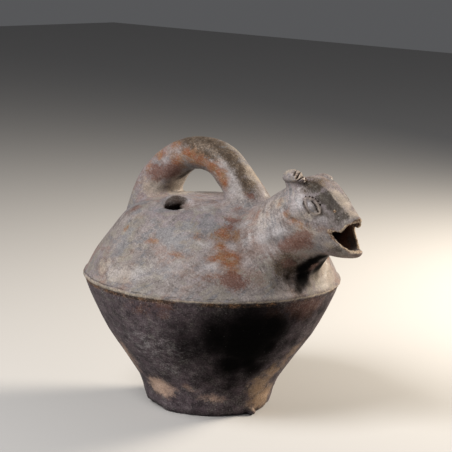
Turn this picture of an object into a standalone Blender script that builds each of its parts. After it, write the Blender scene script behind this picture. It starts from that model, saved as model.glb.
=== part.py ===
"""Clay pot with a basket handle and an animal's head as its spout, all one fired piece.

Metres, +Z up. The origin is the centre of the flat underside, and the head looks along +X.
"""

import math

import bmesh
import bpy
from mathutils import Matrix, Vector
from mathutils.bvhtree import BVHTree

MM = 0.001

# Body, a hollow turned shape
FOOT_RADIUS = 41.5 * MM  # edge of the flat underside
WAIST_RADIUS = 49.8 * MM  # where the foot turns into the wall
WAIST_HEIGHT = 21 * MM
RIDGE_RADIUS = 90 * MM  # the sharp shoulder, the widest place
RIDGE_HEIGHT = 92 * MM
CROWN_RISE = 55 * MM  # from the ridge to the top of the crown
BODY_WALL = 6.5 * MM
FLOOR = 9 * MM
BEAD_OUT = 0.8 * MM  # how far the ridge's bead stands proud
BEAD_HALF = 1.6 * MM

# Round filling hole beside the handle
HOLE_RADIUS = 9.4 * MM
HOLE_X = -3.5 * MM
HOLE_CLEAR = 11.5 * MM  # clay left between the handle's side and the hole
HOLE_FLARE = 1.6 * MM  # how much wider the worn mouth of the hole is

# Basket handle, in the plane of the head
HANDLE_FRONT = 35 * MM  # feet, as distances from the axis
HANDLE_BACK = 57 * MM
HANDLE_RISE = 41.3 * MM  # from the crown to the top of the handle
HANDLE_THICK = 22.8 * MM
HANDLE_WIDE = 26 * MM

# Neck and head
NECK_SEAT = 36.5 * MM  # height above the ridge where the neck's axis leaves the shoulder
HEAD_LENGTH = 60 * MM  # from there to the tip of the chin, measured level
NECK_WALL = 5.5 * MM
LIP_WALL = 2.8 * MM
EAR_LENGTH = 17 * MM  # broken stubs, measured along the head
EAR_WIDE = 11.5 * MM
EAR_STAND = 8.5 * MM  # how far the nearer stub stands out, the other is broken lower
EYE_LENGTH = 15 * MM
EYE_WIDE = 8.6 * MM
EYE_RIM = 1.1 * MM  # half thickness of the raised rim

FIRED_CLAY = (0.235, 0.185, 0.158, 1)

BODY_SIDES = 56
CAVITY_SIDES = 36

BODY_HEIGHT = RIDGE_HEIGHT + CROWN_RISE
HOLE_Y = -(HANDLE_WIDE / 2 + HOLE_CLEAR + HOLE_RADIUS)

# Outlines: (share of the way outwards, share of the way up)
FOOT_SHAPE = ((0, 0), (0.36, 0.2), (0.60, 0.6), (1, 1))
WALL_SHAPE = ((0, 0), (0.28, 0.235), (0.573, 0.472), (0.79, 0.707), (0.951, 0.911), (1, 1))
SHOULDER_SHAPE = (
    (1, 0), (0.965, 0.127), (0.907, 0.305), (0.80, 0.544), (0.707, 0.751),
    (0.626, 0.851), (0.532, 0.92), (0.40, 0.964), (0.20, 0.993), (0, 1),
)

# Flakes lost from the foot's edge: direction in degrees, width and depth as shares of the foot's radius
FOOT_CHIPS = ((-144, 0.62, 0.115), (-112, 0.50, 0.07), (28, 0.35, 0.04), (148, 0.5, 0.05))

# Handle: (share of the span from the back foot, share of the rise of its middle line, swelling)
HANDLE_SHAPE = (
    (-0.17, -0.95, 0.85), (-0.11, -0.68, 1.2), (-0.045, -0.38, 1.42), (0.005, -0.10, 1.46),
    (0.034, 0.14, 1.40), (0.080, 0.40, 1.27), (0.163, 0.635, 1.17), (0.252, 0.815, 1.07),
    (0.36, 0.950, 1.01), (0.50, 1.0, 1.0), (0.63, 0.960, 1.0), (0.72, 0.84, 1.0),
    (0.80, 0.655, 1.0), (0.868, 0.46, 1.0), (0.927, 0.26, 1.06), (0.98, 0.02, 1.2), (1.01, -0.22, 1.4),
)

# Head, in shares of its length from the seat: top (along, up), underside (along, up), half width, squareness
HEAD_SHAPE = (
    (-0.453, 0.225, 0.213, -0.575, 0.60, 2.0), (-0.353, 0.342, 0.280, -0.433, 0.54, 2.0),
    (-0.155, 0.490, 0.380, -0.292, 0.483, 2.0), (0.042, 0.610, 0.480, -0.175, 0.442, 2.1),
    (0.180, 0.705, 0.572, -0.115, 0.408, 2.3), (0.365, 0.745, 0.647, -0.115, 0.372, 2.7),
    (0.570, 0.648, 0.738, -0.122, 0.300, 3.0), (0.693, 0.533, 0.813, -0.118, 0.240, 3.0),
    (0.830, 0.418, 0.902, -0.105, 0.178, 3.0), (0.930, 0.330, 0.968, -0.086, 0.130, 2.6),
    (0.982, 0.266, 1.002, -0.050, 0.080, 2.2),
)
# Broken lips, in the same shares: (along, up), from the corner of the mouth to the front
LOWER_LIP = ((0.748, 0.190), (0.797, 0.125), (0.852, 0.070), (0.905, 0.015), (0.955, -0.018), (0.990, -0.010),
             (1.040, 0.000))
UPPER_LIP = ((0.775, 0.196), (0.830, 0.188), (0.868, 0.213), (0.902, 0.262), (0.925, 0.275), (0.957, 0.295),
             (0.976, 0.380))


def smooth_through(points, steps):
    """Points of a smooth curve through the given ones, with this many steps between two of them."""
    points = [Vector(p) for p in points]
    ends = [2 * points[0] - points[1], *points, 2 * points[-1] - points[-2]]
    found = []
    for a, b, c, d in zip(ends, ends[1:], ends[2:], ends[3:]):
        for k in range(steps):
            t = k / steps
            found.append(0.5 * (2 * b + (c - a) * t + (2 * a - 5 * b + 4 * c - d) * t**2
                                + (3 * b - a - 3 * c + d) * t**3))
    return [*found, points[-1]]


def outline_between(shape, low, high, steps):
    """The outline from the low (radius, height) to the high one."""
    corners = [(low[0] + (high[0] - low[0]) * a, low[1] + (high[1] - low[1]) * b) for a, b in shape]
    return smooth_through(corners, steps)


def foot_line(steps):
    return outline_between(FOOT_SHAPE, (FOOT_RADIUS, 0), (WAIST_RADIUS, WAIST_HEIGHT), steps)


def wall_line(steps):
    return outline_between(WALL_SHAPE, (WAIST_RADIUS, WAIST_HEIGHT), (RIDGE_RADIUS, RIDGE_HEIGHT), steps)


def shoulder_line(steps):
    return outline_between(SHOULDER_SHAPE, (0, RIDGE_HEIGHT), (RIDGE_RADIUS, BODY_HEIGHT), steps)


def shoulder_at_radius(radius):
    """Height of the shoulder's outside at this distance from the axis."""
    line = shoulder_line(8)
    for a, b in zip(line, line[1:]):
        if b.x <= radius <= a.x:
            return a.y + (b.y - a.y) * (a.x - radius) / max(a.x - b.x, 1e-9)
    return BODY_HEIGHT


def shoulder_at_height(height):
    """Distance from the axis of the shoulder's outside at this height."""
    line = shoulder_line(8)
    for a, b in zip(line, line[1:]):
        if a.y <= height <= b.y:
            return a.x + (b.x - a.x) * (height - a.y) / max(b.y - a.y, 1e-9)
    return 0.0


def inwards(line, depth):
    """The line moved this far to its left, which is inwards for an outline that runs upwards."""
    moved = []
    for i, p in enumerate(line):
        along = (line[min(i + 1, len(line) - 1)] - line[max(i - 1, 0)]).normalized()
        moved.append(p + depth * Vector((-along.y, along.x)))
    return moved


def mesh_object(name, bm):
    bmesh.ops.recalc_face_normals(bm, faces=bm.faces)
    mesh = bpy.data.meshes.new(name)
    bm.to_mesh(mesh)
    bm.free()
    mesh.shade_smooth()
    mesh.set_sharp_from_angle(angle=math.radians(40))
    obj = bpy.data.objects.new(name, mesh)
    bpy.context.scene.collection.objects.link(obj)
    return obj


def turned(name, outline, sides):
    """A closed solid turned about Z from an outline of (radius, height) that starts and ends on the axis."""
    bm = bmesh.new()
    verts = [bm.verts.new((r, 0, z)) for r, z in outline]
    edges = [bm.edges.new(pair) for pair in zip(verts, verts[1:])]
    bmesh.ops.spin(bm, geom=verts + edges, axis=(0, 0, 1), cent=(0, 0, 0), angle=2 * math.pi,
                   steps=sides, use_merge=True)
    bmesh.ops.remove_doubles(bm, verts=bm.verts, dist=1e-6)
    return mesh_object(name, bm)


def lofted(name, rings):
    """A closed solid through rings of points, all with the same number of points."""
    bm = bmesh.new()
    loops = [[bm.verts.new(p) for p in ring] for ring in rings]
    for one, two in zip(loops, loops[1:]):
        for k in range(len(one)):
            n = (k + 1) % len(one)
            bm.faces.new((one[k], one[n], two[n], two[k]))
    bm.faces.new(loops[0])
    bm.faces.new(loops[-1])
    return mesh_object(name, bm)


def rounded_ring(centre, across, up, sides, top_power=2.0, low_power=2.0):
    """A ring about centre with these two half axes. A power over 2 makes that half squarer."""
    ring = []
    for k in range(sides):
        turn = 2 * math.pi * k / sides
        c, s = math.cos(turn), math.sin(turn)
        power = top_power if s > 0 else low_power
        ring.append(centre + across * math.copysign(abs(c) ** (2 / power), c)
                    + up * math.copysign(abs(s) ** (2 / power), s))
    return ring


def body():
    bead = [Vector((RIDGE_RADIUS + BEAD_OUT * math.cos(a), RIDGE_HEIGHT + BEAD_HALF * math.sin(a)))
            for a in (math.radians(d) for d in (-60, -20, 20, 60))]
    wall = [p for p in wall_line(2)[1:] if p.y < RIDGE_HEIGHT - 1.4 * BEAD_HALF]
    shoulder = [p for p in shoulder_line(2) if p.y > RIDGE_HEIGHT + 1.4 * BEAD_HALF]
    return turned("clay_pot", [(0, 0), *foot_line(2), *wall, *bead, *shoulder], BODY_SIDES)


def cavity():
    wall = [p for p in inwards(wall_line(1), BODY_WALL) if WAIST_HEIGHT < p.y < RIDGE_HEIGHT]
    shoulder = [p for p in inwards(shoulder_line(1), BODY_WALL) if p.y > RIDGE_HEIGHT and p.x > 0]
    corner = Vector((0.93 * wall[0].x, FLOOR + 0.3 * (wall[0].y - FLOOR)))
    return turned("cavity_cutter", [(0, FLOOR), (0.9 * corner.x, FLOOR), corner, *wall, *shoulder,
                                    (0, BODY_HEIGHT - BODY_WALL)], CAVITY_SIDES)


def handle():
    middle = HANDLE_RISE - HANDLE_THICK / 2
    span = HANDLE_FRONT + HANDLE_BACK
    back_z, front_z = shoulder_at_radius(HANDLE_BACK), shoulder_at_radius(HANDLE_FRONT)
    stations = []
    for share, height, swelling in HANDLE_SHAPE:
        ground = back_z + (front_z - back_z) * min(max(share, 0), 1)
        centre_z = ground + (BODY_HEIGHT + middle - ground) * height
        stations.append((share * span - HANDLE_BACK, centre_z, swelling))
    rings = []
    curve = smooth_through([(x, 0, z) for x, z, _ in stations], 2)
    swells = smooth_through([(s, 0) for _, _, s in stations], 2)
    for i, (centre, swell) in enumerate(zip(curve, swells)):
        along = (curve[min(i + 1, len(curve) - 1)] - curve[max(i - 1, 0)]).normalized()
        outwards = Vector((-along.z, 0, along.x))
        rings.append(rounded_ring(centre, Vector((0, HANDLE_WIDE / 2 * swell.x, 0)),
                                  outwards * HANDLE_THICK / 2 * swell.x, 20, 2.3, 2.3))
    return lofted("handle_clay", rings)


def head_place(along, up, side=0.0):
    """A place in the head, from shares of its length measured from the neck's seat."""
    seat_z = RIDGE_HEIGHT + NECK_SEAT
    seat_x = shoulder_at_height(seat_z)
    return Vector((seat_x + along * HEAD_LENGTH, side * HEAD_LENGTH, seat_z + up * HEAD_LENGTH))


def head_rings(sides, wall, last):
    """Rings along the neck and head, thinner by wall(i) at the i-th section of HEAD_SHAPE."""
    tops = smooth_through([(row[0], row[1]) for row in HEAD_SHAPE], 2)
    unders = smooth_through([(row[2], row[3]) for row in HEAD_SHAPE], 2)
    widths = smooth_through([(row[4], row[5]) for row in HEAD_SHAPE], 2)
    rings = []
    for i in range(int(2 * last) + 1):
        top, under = head_place(*tops[i]), head_place(*unders[i])
        up = (top - under) / 2
        up = up.normalized() * (up.length - wall(i / 2))
        across = Vector((0, widths[i].x * HEAD_LENGTH - wall(i / 2), 0))
        rings.append(rounded_ring((top + under) / 2, across, up, sides, widths[i].y, 2.15))
    return rings


def head():
    return lofted("head_clay", head_rings(32, lambda i: 0.0, len(HEAD_SHAPE) - 1))


def bore():
    """The hollow of the neck and head, open to the body and to the mouth."""
    def wall(i):
        if i < 3:
            return NECK_WALL * (1.5 - i / 6)
        return NECK_WALL + (LIP_WALL - NECK_WALL) * min((i - 3) / 4, 1)
    behind_the_lips = len(HEAD_SHAPE) - 2.5
    return lofted("bore_cutter", head_rings(18, wall, behind_the_lips))


def mouth():
    """The open mouth, cut right across. The lower lip is broken further back on the far side."""
    rings = []
    for side, lost in ((-0.5, 0.0), (0.5, 0.045)):
        outline = [(a - lost, b - 0.4 * lost) for a, b in LOWER_LIP] + [(1.35, -0.03), (1.35, 0.42)]
        rings.append([head_place(a, b, side) for a, b in outline + list(reversed(UPPER_LIP))])
    return lofted("mouth_cutter", rings)


def on_head(skin, along, up, side):
    """Place and outward direction on the head's skin, seen from this side at this height."""
    start = head_place(along, up, 2 * side)
    place, normal, _, _ = skin.ray_cast(start, Vector((0, -side, 0)))
    return place, normal


def ear(name, skin, side, stand):
    """A broken ear stub, leaning back over the neck."""
    root, _ = on_head(skin, 0.265, 0.635, side)
    root = root - Vector((0, side * EAR_WIDE * 0.42, EAR_WIDE * 0.2))
    rings = []
    for rise, swell in ((0.0, 0.92), (0.45, 0.96), (0.8, 1.03), (0.97, 0.92), (1.0, 0.6)):
        reach = EAR_WIDE * 0.45 + (stand + EAR_WIDE * 0.35) * rise
        centre = root + Vector((-0.16 * reach, side * 0.22 * reach, reach - EAR_WIDE * 0.45))
        rings.append(rounded_ring(centre, Vector((EAR_LENGTH / 2 * swell, 0, 0.05 * EAR_LENGTH * swell)),
                                  Vector((0, EAR_WIDE / 2 * swell, 0)), 14))
    return lofted(name, rings)


def eye_frame(skin, side):
    place, normal = on_head(skin, 0.545, 0.445, side)
    along = Vector((0.76, 0, -0.65))
    along = (along - normal * along.dot(normal)).normalized()
    return place, normal, along, normal.cross(along)


def eye_rim(name, skin, side):
    place, normal, along, across = eye_frame(skin, side)
    bm = bmesh.new()
    turns, sides = 22, 6
    loops = []
    for k in range(turns):
        a = 2 * math.pi * k / turns
        longways = along * (EYE_LENGTH / 2 - EYE_RIM) * math.cos(a)
        crossways = across * (EYE_WIDE / 2 - EYE_RIM) * math.sin(a)
        middle, _, _, _ = skin.find_nearest(place + longways + crossways)
        out = (along * math.cos(a) * EYE_WIDE + across * math.sin(a) * EYE_LENGTH).normalized()
        loops.append([bm.verts.new(middle + out * EYE_RIM * math.cos(b) + normal * EYE_RIM * math.sin(b))
                      for b in (2 * math.pi * n / sides for n in range(sides))])
    for k in range(turns):
        one, two = loops[k], loops[(k + 1) % turns]
        for n in range(sides):
            m = (n + 1) % sides
            bm.faces.new((one[n], one[m], two[m], two[n]))
    return mesh_object(name, bm)


def eye_bump(name, skin, side):
    place, normal, along, across = eye_frame(skin, side)
    rings = []
    for rise, swell in ((-1.0, 0.9), (0.0, 1.0), (0.6, 0.8), (0.9, 0.4)):
        rings.append(rounded_ring(place + normal * EYE_RIM * 1.1 * rise, along * EYE_LENGTH * 0.22 * swell,
                                  across * EYE_WIDE * 0.17 * swell, 12))
    return lofted(name, rings)


def fill_hole():
    """Straight through the crown, a little wider at its worn mouth."""
    reach = math.hypot(HOLE_X, HOLE_Y)
    outwards = Vector((HOLE_X, HOLE_Y, 0)) / reach
    axis = (Vector((0, 0, 1)) + 0.3 * outwards).normalized()
    sideways = axis.cross(outwards).normalized()
    rings = []
    for depth, flare in ((-2.5, 0.0), (-0.5, 0.0), (-0.1, 0.35), (0.25, 1.2), (1.5, 2.0)):
        centre = Vector((HOLE_X, HOLE_Y, shoulder_at_radius(reach))) + axis * depth * BODY_WALL
        wide = HOLE_RADIUS + flare * HOLE_FLARE
        rings.append(rounded_ring(centre, sideways * wide, axis.cross(sideways) * wide, 28))
    return lofted("fill_hole_cutter", rings)


def foot_chip(name, turn, wide, deep):
    """A flake lost from the edge of the foot, taken off by a slanted block."""
    half = 2.2 * deep
    bm = bmesh.new()
    bmesh.ops.create_cube(bm, size=2.0)
    bmesh.ops.scale(bm, verts=bm.verts, vec=(half, wide / 2, half))
    bmesh.ops.rotate(bm, verts=bm.verts, cent=(0, 0, 0), matrix=Matrix.Rotation(math.radians(45), 3, "Y"))
    bmesh.ops.translate(bm, verts=bm.verts, vec=(FOOT_RADIUS - deep + 1.06 * half, 0, -0.36 * half))
    bmesh.ops.rotate(bm, verts=bm.verts, cent=(0, 0, 0), matrix=Matrix.Rotation(math.radians(turn), 3, "Z"))
    return mesh_object(name, bm)


def foot_lump():
    """A crumb of clay fired onto the edge of the foot."""
    wide, tall = 0.083 * FOOT_RADIUS, 0.05 * FOOT_RADIUS
    rings = []
    for k in range(1, 8):
        a = math.pi * k / 8
        radius = wide * math.sin(a)
        centre = Vector((1.08 * FOOT_RADIUS, -0.14 * FOOT_RADIUS, tall * (1.01 - math.cos(a))))
        rings.append(rounded_ring(centre, Vector((radius, 0, 0)), Vector((0, radius, 0)), 10))
    return lofted("foot_lump_clay", rings)


def boolean(target, tool, operation):
    modifier = target.modifiers.new(tool.name, "BOOLEAN")
    modifier.operation = operation
    modifier.solver = "EXACT"
    modifier.object = tool
    tool.hide_render = True
    tool.display_type = "WIRE"


def fired_clay():
    material = bpy.data.materials.new("fired_clay")
    material.use_nodes = True
    skin = material.node_tree.nodes["Principled BSDF"]
    skin.inputs["Base Color"].default_value = FIRED_CLAY
    skin.inputs["Roughness"].default_value = 0.62
    skin.inputs["Metallic"].default_value = 0.0
    return material


def main():
    for obj in list(bpy.data.objects):
        bpy.data.objects.remove(obj)
    pot = body()
    head_clay = head()
    shape = bmesh.new()
    shape.from_mesh(head_clay.data)
    skin = BVHTree.FromBMesh(shape)
    shape.free()
    clay = [handle(), head_clay, foot_lump()]
    clay.append(ear("near_ear_clay", skin, -1, EAR_STAND))
    clay.append(ear("far_ear_clay", skin, 1, 0.45 * EAR_STAND))
    for name, side in (("near", -1), ("far", 1)):
        clay.append(eye_rim(name + "_eye_rim_clay", skin, side))
        clay.append(eye_bump(name + "_eye_bump_clay", skin, side))
    for tool in clay:
        boolean(pot, tool, "UNION")
    cutters = [cavity(), bore(), mouth(), fill_hole()]
    for k, (turn, wide, deep) in enumerate(FOOT_CHIPS):
        cutters.append(foot_chip(f"foot_chip_{k}", turn, wide * FOOT_RADIUS, deep * FOOT_RADIUS))
    for tool in cutters:
        boolean(pot, tool, "DIFFERENCE")
    material = fired_clay()
    for piece in (pot, *clay, *cutters):
        piece.data.materials.append(material)


main()
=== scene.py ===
import math

import bpy
import numpy as np
from mathutils import Matrix, Vector
from mathutils.bvhtree import BVHTree


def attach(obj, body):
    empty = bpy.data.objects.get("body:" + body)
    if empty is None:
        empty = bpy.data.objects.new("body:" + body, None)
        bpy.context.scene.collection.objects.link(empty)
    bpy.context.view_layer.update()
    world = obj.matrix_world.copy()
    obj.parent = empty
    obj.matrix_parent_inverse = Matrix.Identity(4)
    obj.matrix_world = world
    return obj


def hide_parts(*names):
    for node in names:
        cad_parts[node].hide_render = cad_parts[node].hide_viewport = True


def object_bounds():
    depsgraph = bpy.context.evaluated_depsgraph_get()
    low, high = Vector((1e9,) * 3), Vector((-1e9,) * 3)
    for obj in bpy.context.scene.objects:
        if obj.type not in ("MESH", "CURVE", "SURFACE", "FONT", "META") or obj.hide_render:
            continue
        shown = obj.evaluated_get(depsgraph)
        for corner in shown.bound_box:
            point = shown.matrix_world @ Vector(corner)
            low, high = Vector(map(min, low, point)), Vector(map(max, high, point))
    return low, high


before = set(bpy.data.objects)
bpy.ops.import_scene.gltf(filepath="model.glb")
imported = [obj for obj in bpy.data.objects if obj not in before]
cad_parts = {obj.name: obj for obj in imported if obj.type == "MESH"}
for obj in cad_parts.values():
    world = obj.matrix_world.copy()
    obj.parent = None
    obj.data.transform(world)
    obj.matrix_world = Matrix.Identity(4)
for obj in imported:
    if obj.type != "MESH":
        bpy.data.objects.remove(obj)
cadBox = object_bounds()  # kept to hold the finished pot inside it
bpy.ops.object.select_all(action="DESELECT")
scene = bpy.context.scene


# Camera, where the photographer stood
view = {
    "turn": 40.0,        # degrees round the pot, from its right side towards the head
    "height": 10.3,      # degrees above the table
    "roll": 2.0,
    "distance": 1.2,     # metres
    "lens": 135.4,
    "sensor": 36,        # millimetres, as the lens
    "aim": (0.0, 0.0, 0.092),
    "aside": (0.00988, 0.03367),  # how far the frame's middle lies right of and above the aim
}


def addCamera():
    turn, height, roll = (math.radians(view[k]) for k in ("turn", "height", "roll"))
    reach = math.cos(height)
    back = Vector((math.sin(turn) * reach, -math.cos(turn) * reach, math.sin(height)))
    level = Vector((math.cos(turn), math.sin(turn), 0.0))
    upright = back.cross(level)
    right = level * math.cos(roll) + upright * math.sin(roll)
    up = upright * math.cos(roll) - level * math.sin(roll)
    aside, over = view["aside"]
    place = Vector(view["aim"]) + right * aside + up * over + back * view["distance"]
    data = bpy.data.cameras.new("camera")
    data.sensor_width = view["sensor"]
    data.lens = view["lens"]
    camera = bpy.data.objects.new("camera", data)
    camera.matrix_world = Matrix((
        (right.x, up.x, back.x, place.x),
        (right.y, up.y, back.y, place.y),
        (right.z, up.z, back.z, place.z),
        (0, 0, 0, 1)))
    scene.collection.objects.link(camera)
    scene.camera = camera
    print("camera set")
    return right, up, back


camRight, camUp, camBack = addCamera()


# Clay tools: the pot's surface as arrays, in millimetres
scramble = {  # whole numbers that turn a cell's place and a seed into a value of its own
    "steps": (374761393, 668265263, 2147483647),
    "seed": 144665,
    "stir": 1274126177,
    "mask": 0xFFFFFFFF,
    "shift": 17.31,  # cells between one seed and the next
}


def latticeNoise(points, size, seed):
    # smooth values from -1 to 1 that change over about this size
    q = points / size + seed * scramble["shift"]
    cell = np.floor(q).astype(np.int64)
    f = q - cell
    f = f * f * f * (f * (f * 6 - 15) + 10)
    total = np.zeros(len(q))
    for corner in range(8):
        step = np.array((corner & 1, corner >> 1 & 1, corner >> 2 & 1))
        c = cell + step
        h = sum(c[:, k] * scramble["steps"][k] for k in range(3)) + seed * scramble["seed"]
        h = h & scramble["mask"]
        h = ((h ^ (h >> 13)) * scramble["stir"]) & scramble["mask"]
        h = (h ^ (h >> 16)) & 0xFFFF
        weight = np.prod(np.where(step, f, 1 - f), axis=1)
        total += weight * (h / 32767.5 - 1)   # 16 bits become -1 to 1
    return total


def roughness(points, size, seed, octaves=3):
    # the same in coarse and ever finer layers, brought back to about -1 to 1
    total, strength = np.zeros(len(points)), 1.0
    for k in range(octaves):
        total += strength * latticeNoise(points, size / 2 ** k, seed + k)
        strength *= 0.5
    return total / 1.6


def near(points, middle, reach):
    # 1 in the middle, 0 from about twice the reach
    d = (points - np.array(middle)) / np.array(reach)
    return np.exp(-(d * d).sum(axis=1))


def bell(away, width):
    # the same over a distance
    return np.exp(-(away / width) ** 2)


def nearAny(points, spots):
    return sum(near(points, middle, reach) for middle, reach in spots)


def ramp(values, low, high):
    t = np.clip((values - low) / (high - low), 0, 1)
    return t * t * (3 - 2 * t)


def alongPath(points, path):
    # distance from a path of points, and how far along it, in millimetres
    best = np.full(len(points), 1e9)
    along = np.zeros(len(points))
    done = 0.0
    for a, b in zip(path, path[1:]):
        a, b = np.array(a, float), np.array(b, float)
        length = np.linalg.norm(b - a)
        t = np.clip((points - a) @ (b - a) / length ** 2, 0, 1)
        d = np.linalg.norm(points - a - t[:, None] * (b - a), axis=1)
        closer = d < best
        best[closer] = d[closer]
        along[closer] = done + t[closer] * length
        done += length
    return best, along


def groove(points, path, width):
    # 1 along a path, 0 from about twice the width
    return bell(alongPath(points, path)[0], width)


def onSide(path, side):
    # a path drawn on the far side (1), laid on either side
    return [(x, side * y, z) for x, y, z in path]


def readSurface(obj):
    mesh = obj.data
    mesh.update()
    co = np.empty(len(mesh.vertices) * 3, np.float32)
    mesh.vertices.foreach_get("co", co)
    no = np.empty(len(mesh.vertices) * 3, np.float32)
    mesh.vertices.foreach_get("normal", no)
    return co.reshape(-1, 3).astype(float) * 1000, no.reshape(-1, 3).astype(float)


def writeSurface(obj, points):
    obj.data.vertices.foreach_set("co", (points / 1000).astype(np.float32).ravel())
    obj.data.update()


def keepMark(obj, name, values):
    mark = obj.data.attributes.get(name) or obj.data.attributes.new(name, "FLOAT", "POINT")
    mark.data.foreach_set("value", np.clip(values, 0, 1).astype(np.float32))


def groupOf(obj, name, weights, steps=20):
    # a vertex group, its weights rounded to so many steps
    group = obj.vertex_groups.new(name=name)
    levels = np.round(np.clip(weights, 0, 1) * steps).astype(int)
    for level in range(1, steps + 1):
        found = np.flatnonzero(levels == level)
        if len(found):
            group.add([int(i) for i in found], level / steps, "REPLACE")


def useModifier(obj, kind, **settings):
    modifier = obj.modifiers.new(kind.lower(), kind)
    for name, value in settings.items():
        setattr(modifier, name, value)
    bpy.context.view_layer.objects.active = obj
    bpy.ops.object.modifier_apply(modifier=modifier.name)


def smooth(obj, passes, group):
    useModifier(obj, "SMOOTH", factor=0.5, iterations=passes, vertex_group=group)


# The pot itself
pot = {
    "grain": 0.9,           # millimetres between points while the clay is worked
    "quickGrain": 1.6,
    "triangles": 190000,
    "cuts": 2,              # times that each face is cut where the finest work is
    "sides": 56,            # flats that the plain solid has round its body
    "ridge": 92,            # height of the shoulder's ridge, millimetres
    "unevenness": 0.35,     # how far the hand-built wall wanders, millimetres
    "strokes": 0.07,        # burnishing marks
    "crumble": 0.42,        # roughness of the ridge's worn edge
    "bites": 0.55,          # depth of what is broken out of it
    "footWear": 0.55,
    "creaseFill": 70,       # passes that press clay into the joins
    "softening": {"all_over": 6, "ears": 22, "joins": 16, "fine_work": 4},
    "creaseAngle": 50,      # degrees, edges sharper than this stay sharp
}
wallProfile = {
    "height": (0, 4.2, 12.6, 21, 37.7, 54.5, 71.2, 85.7, 92, 99, 108.8, 121.9, 133.3, 138.8, 142.6, 145,
               146.6, 147),
    "radius": (41.5, 44.5, 46.5, 49.8, 61, 72.8, 81.6, 88, 90, 86.9, 81.6, 72, 63.6, 56.3, 47.9, 36,
               18, 0.1),
}
keptParts = {  # middle and reach of what keeps its own shape when the joins are smoothed
    "eyes": (((100.5, -19, 154.8), (9, 7, 9)), ((100.5, 19, 154.8), (9, 7, 9))),
    "ears": (((84, -17, 174), (9, 8, 5)), ((86, 14, 172), (9, 8, 5))),
    "mouth": (((119, 0, 136), (9, 15, 11)),),
    "hole": (((-3.5, -34, 144), (12, 12, 7)),),
}
fillingHole = {"middle": (-3.5, -34), "right": (0.766, 0.643), "worn": 5.5}
handleSeam = ((-50, 17.8, 140.7), (-47.7, 17, 144.5), (-45.5, 15.9, 150.4), (-39.6, 13.6, 154.5))
touches = (  # places pushed in or out: middle, reach and height in millimetres
    ((14, 0, 162), (6, 11, 5), 1.7),       # inner side of the handle's front leg
    ((21, 0, 150), (6, 11, 8), 3),
    ((29, -14, 147), (9, 6, 7), 1.4),      # the leg's foot runs out over the crown
    ((40, -18, 146), (9, 8, 6), 0.9),
    ((-14, -28, 146), (8, 7, 5), 3.7),     # far rim of the filling hole
    ((2.5, -43, 142), (8, 5, 5), -0.7),    # its near rim
    ((-5, -23, 146), (9, 6, 5), 1.3),
    ((26, 0, 146), (7, 11, 5), 1.8),
    ((124.5, 0, 144.5), (4, 6, 2), -1.2),  # underside of the nose
    ((125, -1, 148.5), (4, 7, 3), 1.9),    # tip of the nose
    ((86, 13.5, 174), (9, 8, 4), -0.3),    # the far ear is worn level with the head
    ((95, 8.5, 171), (6, 6, 4), 0.9),
    ((123, -3, 126.5), (5, 8, 4), 0.9),    # full chin
    ((-27, 0, 147), (5, 11, 4), 1.5),      # inner side of the handle's back leg
    ((-28, 0, 153.5), (5, 12, 4), -3),
    ((72, -31, 133.5), (8, 6, 5), 0.7),    # swelling on the side of the neck
    ((84, -23, 122), (9, 7, 5), -0.6),
)
fineWork = (  # middle and reach of the places that get smaller faces
    ((100.4, -19.2, 154.9), (9.5, 7, 9)),
    ((100.4, 19.2, 154.9), (9, 6, 9)),
    ((82.5, -16.5, 173.5), (12, 8, 7)),
    ((86, 13.5, 172.5), (9, 7, 3)),
    ((118, -10, 138), (9, 7, 9)),
    ((118, 10, 138), (9, 7, 9)),
    ((124, 0, 136), (5, 8, 13)),
)


def markHollow(obj, rays=26, goldenTurn=2.39996, slant=0.15, start=0.0004):
    # a point of the hollow sees clay in every direction, one of the outside doesn't
    tree = BVHTree.FromPolygons([v.co for v in obj.data.vertices], [p.vertices for p in obj.data.polygons])
    directions = []
    for k in range(rays):
        z = 1 - (2 * k + 1) / rays
        turn = k * goldenTurn
        level = math.sqrt(1 - z * z)
        directions.append(Vector((level * math.cos(turn), level * math.sin(turn), z)))
    hidden = []
    for vertex in obj.data.vertices:
        tries = [d for d in directions if d.dot(vertex.normal) > slant]
        origin = vertex.co + vertex.normal * start
        seen = sum(tree.ray_cast(origin, d)[0] is None for d in tries)
        if seen <= 1:
            hidden.append(vertex.index)
    obj.vertex_groups.new(name="inner").add(hidden, 1.0, "REPLACE")


def startPot():
    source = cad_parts["clay_pot"]
    obj = bpy.data.objects.new("fired_pot", source.data.copy())
    scene.collection.objects.link(obj)
    obj.select_set(True)
    bpy.context.view_layer.objects.active = obj
    bpy.ops.object.mode_set(mode="EDIT")
    bpy.ops.mesh.select_all(action="SELECT")
    bpy.ops.mesh.remove_doubles(threshold=0.00001)
    bpy.ops.object.mode_set(mode="OBJECT")
    plain = obj.copy()
    plain.data = obj.data.copy()
    scene.collection.objects.link(plain)
    markHollow(plain)
    grain = pot["grain"] * 1.0
    useModifier(obj, "REMESH", mode="VOXEL", voxel_size=grain / 1000, adaptivity=0)
    obj.vertex_groups.new(name="inner")
    useModifier(obj, "DATA_TRANSFER", object=plain, use_vert_data=True,
                data_types_verts={"VGROUP_WEIGHTS"}, vert_mapping="POLYINTERP_NEAREST",
                layers_vgroup_select_src="ALL", layers_vgroup_select_dst="NAME")
    bpy.data.objects.remove(plain)
    print("clay ready:", len(obj.data.vertices), "points")
    return obj


def insideOf(obj):
    # 1 on the faces of the hollow, 0 on the outside
    index = obj.vertex_groups["inner"].index
    found = np.zeros(len(obj.data.vertices))
    for k, vertex in enumerate(obj.data.vertices):
        for group in vertex.groups:
            if group.group == index:
                found[k] = group.weight
    return found


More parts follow.
